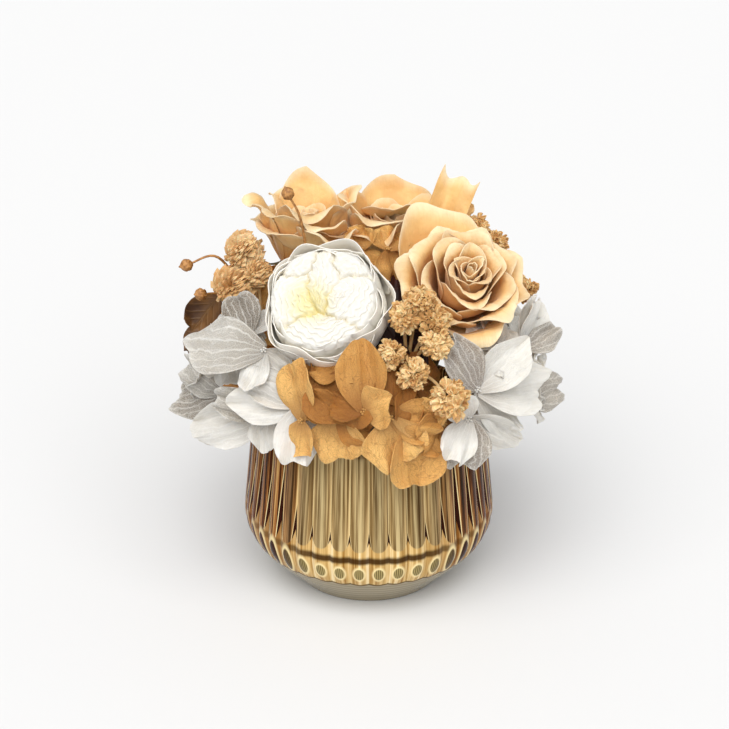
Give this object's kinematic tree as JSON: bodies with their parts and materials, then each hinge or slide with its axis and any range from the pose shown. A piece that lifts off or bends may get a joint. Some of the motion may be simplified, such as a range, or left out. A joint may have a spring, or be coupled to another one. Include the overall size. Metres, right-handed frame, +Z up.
{
  "type": "floral table centerpiece",
  "caption": "Low round bouquet of preserved roses, hydrangea, dried heads, flax pods and leaves in a ribbed amber glass vase filled with floral foam.",
  "frame": {"origin": "centre of the vase's flat foot, on the table", "axes": "+Z up along the vase's axis, -Y towards the picture's viewer, +X to that viewer's right"},
  "size_m": [0.1484, 0.1293, 0.1651],
  "materials": {
    "glass": "clear amber glass with a gold lustre",
    "foam": "dry open-cell floral foam",
    "white_petals": "soft matt petals, cream at the heart",
    "beige_petals": "soft matt petals",
    "caramel_petals": "veined matt petals",
    "pale_petals": "thin bleached petals with a net of veins",
    "dried_heads": "dry and crumbly",
    "pods": "dry, faintly ribbed",
    "brown_leaves": "dry and papery",
    "stems": "taped wire and dried sepals"
  },
  "bodies": {
    "root": {"vase": "glass", "foam": "foam", "white_rose": "white_petals", "beige_rose_right": "beige_petals", "beige_rose_back_left": "beige_petals", "beige_rose_back_right": "beige_petals", "white_rose_stem": "stems", "beige_rose_right_stem": "stems", "beige_rose_back_left_stem": "stems", "beige_rose_back_right_stem": "stems", "pompons_left": "dried_heads", "pompons_middle": "dried_heads", "pompons_right": "dried_heads", "pompons_back": "dried_heads", "flax_left": "pods", "flax_top": "pods", "leaves_left": "brown_leaves", "leaves_middle": "brown_leaves", "hydrangea_caramel_front": "caramel_petals", "hydrangea_white_left": "pale_petals", "hydrangea_white_right": "pale_petals", "hydrangea_caramel_back": "caramel_petals", "hydrangea_white_back": "pale_petals", "hydrangea_caramel_centre": "caramel_petals"}
  },
  "joints": []
}
